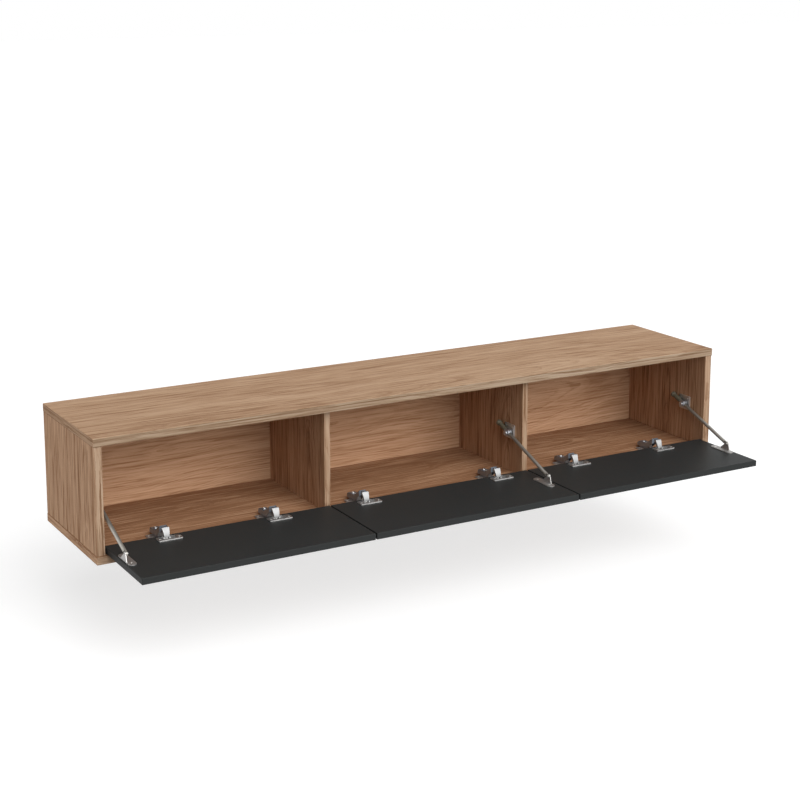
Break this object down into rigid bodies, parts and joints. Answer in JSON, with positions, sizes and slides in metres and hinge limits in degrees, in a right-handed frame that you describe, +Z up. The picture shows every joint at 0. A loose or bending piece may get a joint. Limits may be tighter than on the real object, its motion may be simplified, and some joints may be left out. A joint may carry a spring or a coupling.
{
  "type": "floating media console",
  "caption": "Wall-hung media console with bays closed by drop-down flaps on concealed cup hinges and braked flap stays, hung on a pair of hooked rails.",
  "frame": {"origin": "middle of the wall rail's rear face, in the plane of the wall, 70 mm below the console's top", "axes": "+X to the right as seen from the front, +Y into the wall, so the front faces -Y, +Z up"},
  "size_m": [1.8, 0.5825, 0.3],
  "materials": {
    "veneered_board": "warm brown oak-like veneer on chipboard, matt lacquer, straight to cathedral grain",
    "back_board": "the same veneer on fibreboard, matt",
    "beech": "plain beech dowels, hidden in the joints",
    "flap_board": "anthracite melamine-faced board, fine matt texture",
    "nickelled_steel": "nickel-plated pressed steel, satin",
    "bright_steel": "bright nickel-plated link, smooth",
    "dark_steel": "dark nickel-plated steel, satin",
    "screw_steel": "nickel-plated screws",
    "stay_steel": "nickel-plated rod and bracket, satin",
    "cap_plastic": "dark grey-green moulded end cap",
    "galvanised_steel": "zinc-coated folded sheet"
  },
  "bodies": {
    "cabinet": {"back_panel": "back_board", "bottom_panel": "veneered_board", "cabinet_rail": "galvanised_steel", "carcass_dowels": "beech", "fitting_screws": "screw_steel", "left_divider": "veneered_board", "left_flap_hinge_1_arm": "dark_steel", "left_flap_hinge_1_mounting_plate": "nickelled_steel", "left_flap_hinge_2_arm": "dark_steel", "left_flap_hinge_2_mounting_plate": "nickelled_steel", "left_side_panel": "veneered_board", "left_stay_side_bracket": "nickelled_steel", "middle_flap_hinge_1_arm": "dark_steel", "middle_flap_hinge_1_mounting_plate": "nickelled_steel", "middle_flap_hinge_2_arm": "dark_steel", "middle_flap_hinge_2_mounting_plate": "nickelled_steel", "middle_stay_side_bracket": "nickelled_steel", "rail_screws": "screw_steel", "right_divider": "veneered_board", "right_flap_hinge_1_arm": "dark_steel", "right_flap_hinge_1_mounting_plate": "nickelled_steel", "right_flap_hinge_2_arm": "dark_steel", "right_flap_hinge_2_mounting_plate": "nickelled_steel", "right_side_panel": "veneered_board", "right_stay_side_bracket": "nickelled_steel", "top_panel": "veneered_board", "wall_rail": "galvanised_steel"},
    "left_door": {"left_flap": "flap_board", "left_flap_hinge_1_cup": "nickelled_steel", "left_flap_hinge_2_cup": "nickelled_steel", "left_flap_screws": "screw_steel", "left_stay_flap_bracket": "stay_steel"},
    "left_outer_link_pair": {"left_flap_outer_links": "bright_steel"},
    "left_inner_link_pair": {"left_flap_inner_links": "bright_steel"},
    "left_stay_sliding_rod": {"left_stay_rod": "stay_steel", "left_stay_end_cap": "cap_plastic"},
    "left_stay_block": {"left_stay_swivel_block": "dark_steel", "left_stay_brake_screw": "screw_steel"},
    "middle_door": {"middle_flap": "flap_board", "middle_flap_hinge_1_cup": "nickelled_steel", "middle_flap_hinge_2_cup": "nickelled_steel", "middle_flap_screws": "screw_steel", "middle_stay_flap_bracket": "stay_steel"},
    "middle_outer_link_pair": {"middle_flap_outer_links": "bright_steel"},
    "middle_inner_link_pair": {"middle_flap_inner_links": "bright_steel"},
    "middle_stay_sliding_rod": {"middle_stay_rod": "stay_steel", "middle_stay_end_cap": "cap_plastic"},
    "middle_stay_block": {"middle_stay_swivel_block": "dark_steel", "middle_stay_brake_screw": "screw_steel"},
    "right_door": {"right_flap": "flap_board", "right_flap_hinge_1_cup": "nickelled_steel", "right_flap_hinge_2_cup": "nickelled_steel", "right_flap_screws": "screw_steel", "right_stay_flap_bracket": "stay_steel"},
    "right_outer_link_pair": {"right_flap_outer_links": "bright_steel"},
    "right_inner_link_pair": {"right_flap_inner_links": "bright_steel"},
    "right_stay_sliding_rod": {"right_stay_rod": "stay_steel", "right_stay_end_cap": "cap_plastic"},
    "right_stay_block": {"right_stay_swivel_block": "dark_steel", "right_stay_brake_screw": "screw_steel"}
  },
  "joints": [
    {"name": "left_flap_swing", "type": "hinge", "parent": "cabinet", "child": "left_door", "pos_m": [-0.5855, -0.35175, -0.20075], "axis": [-1, 0, 0], "range_deg": [0, 90]},
    {"name": "left_outer_link_pivot", "type": "hinge", "parent": "cabinet", "child": "left_outer_link_pair", "pos_m": [-0.5855, -0.34556, -0.17395], "axis": [-1, 0, 0], "range_deg": [-17.29, 0.5]},
    {"name": "left_inner_link_pivot", "type": "hinge", "parent": "cabinet", "child": "left_inner_link_pair", "pos_m": [-0.5855, -0.3434, -0.179], "axis": [-1, 0, 0], "range_deg": [-20.79, 0.5]},
    {"name": "left_stay_block_swivel", "type": "hinge", "parent": "cabinet", "child": "left_stay_block", "pos_m": [-0.869, -0.282, -0.102], "axis": [-1, 0, 0], "range_deg": [-0.5, 44.69]},
    {"name": "left_stay_rod_pivot", "type": "hinge", "parent": "left_door", "child": "left_stay_sliding_rod", "pos_m": [-0.869, -0.468, -0.172], "axis": [-1, 0, 0], "range_deg": [-46.31, 0.5]},
    {"name": "middle_flap_swing", "type": "hinge", "parent": "cabinet", "child": "middle_door", "pos_m": [0, -0.35175, -0.20075], "axis": [-1, 0, 0], "range_deg": [0, 90]},
    {"name": "middle_outer_link_pivot", "type": "hinge", "parent": "cabinet", "child": "middle_outer_link_pair", "pos_m": [0, -0.34556, -0.17395], "axis": [-1, 0, 0], "range_deg": [-17.29, 0.5]},
    {"name": "middle_inner_link_pivot", "type": "hinge", "parent": "cabinet", "child": "middle_inner_link_pair", "pos_m": [0, -0.3434, -0.179], "axis": [-1, 0, 0], "range_deg": [-20.79, 0.5]},
    {"name": "middle_stay_block_swivel", "type": "hinge", "parent": "cabinet", "child": "middle_stay_block", "pos_m": [0.27475, -0.282, -0.102], "axis": [-1, 0, 0], "range_deg": [-0.5, 44.69]},
    {"name": "middle_stay_rod_pivot", "type": "hinge", "parent": "middle_door", "child": "middle_stay_sliding_rod", "pos_m": [0.27475, -0.468, -0.172], "axis": [-1, 0, 0], "range_deg": [-46.31, 0.5]},
    {"name": "right_flap_swing", "type": "hinge", "parent": "cabinet", "child": "right_door", "pos_m": [0.5855, -0.35175, -0.20075], "axis": [-1, 0, 0], "range_deg": [0, 90]},
    {"name": "right_outer_link_pivot", "type": "hinge", "parent": "cabinet", "child": "right_outer_link_pair", "pos_m": [0.5855, -0.34556, -0.17395], "axis": [-1, 0, 0], "range_deg": [-17.29, 0.5]},
    {"name": "right_inner_link_pivot", "type": "hinge", "parent": "cabinet", "child": "right_inner_link_pair", "pos_m": [0.5855, -0.3434, -0.179], "axis": [-1, 0, 0], "range_deg": [-20.79, 0.5]},
    {"name": "right_stay_block_swivel", "type": "hinge", "parent": "cabinet", "child": "right_stay_block", "pos_m": [0.869, -0.282, -0.102], "axis": [-1, 0, 0], "range_deg": [-0.5, 44.69]},
    {"name": "right_stay_rod_pivot", "type": "hinge", "parent": "right_door", "child": "right_stay_sliding_rod", "pos_m": [0.869, -0.468, -0.172], "axis": [-1, 0, 0], "range_deg": [-46.31, 0.5]}
  ],
  "couplings": [
    {"joint": "left_outer_link_pivot", "follows": "left_flap_swing", "ratio": -0.1865},
    {"joint": "left_inner_link_pivot", "follows": "left_flap_swing", "ratio": -0.2254},
    {"joint": "left_stay_block_swivel", "follows": "left_flap_swing", "ratio": 0.491},
    {"joint": "left_stay_rod_pivot", "follows": "left_flap_swing", "ratio": -0.509},
    {"joint": "middle_outer_link_pivot", "follows": "middle_flap_swing", "ratio": -0.1865},
    {"joint": "middle_inner_link_pivot", "follows": "middle_flap_swing", "ratio": -0.2254},
    {"joint": "middle_stay_block_swivel", "follows": "middle_flap_swing", "ratio": 0.491},
    {"joint": "middle_stay_rod_pivot", "follows": "middle_flap_swing", "ratio": -0.509},
    {"joint": "right_outer_link_pivot", "follows": "right_flap_swing", "ratio": -0.1865},
    {"joint": "right_inner_link_pivot", "follows": "right_flap_swing", "ratio": -0.2254},
    {"joint": "right_stay_block_swivel", "follows": "right_flap_swing", "ratio": 0.491},
    {"joint": "right_stay_rod_pivot", "follows": "right_flap_swing", "ratio": -0.509}
  ]
}
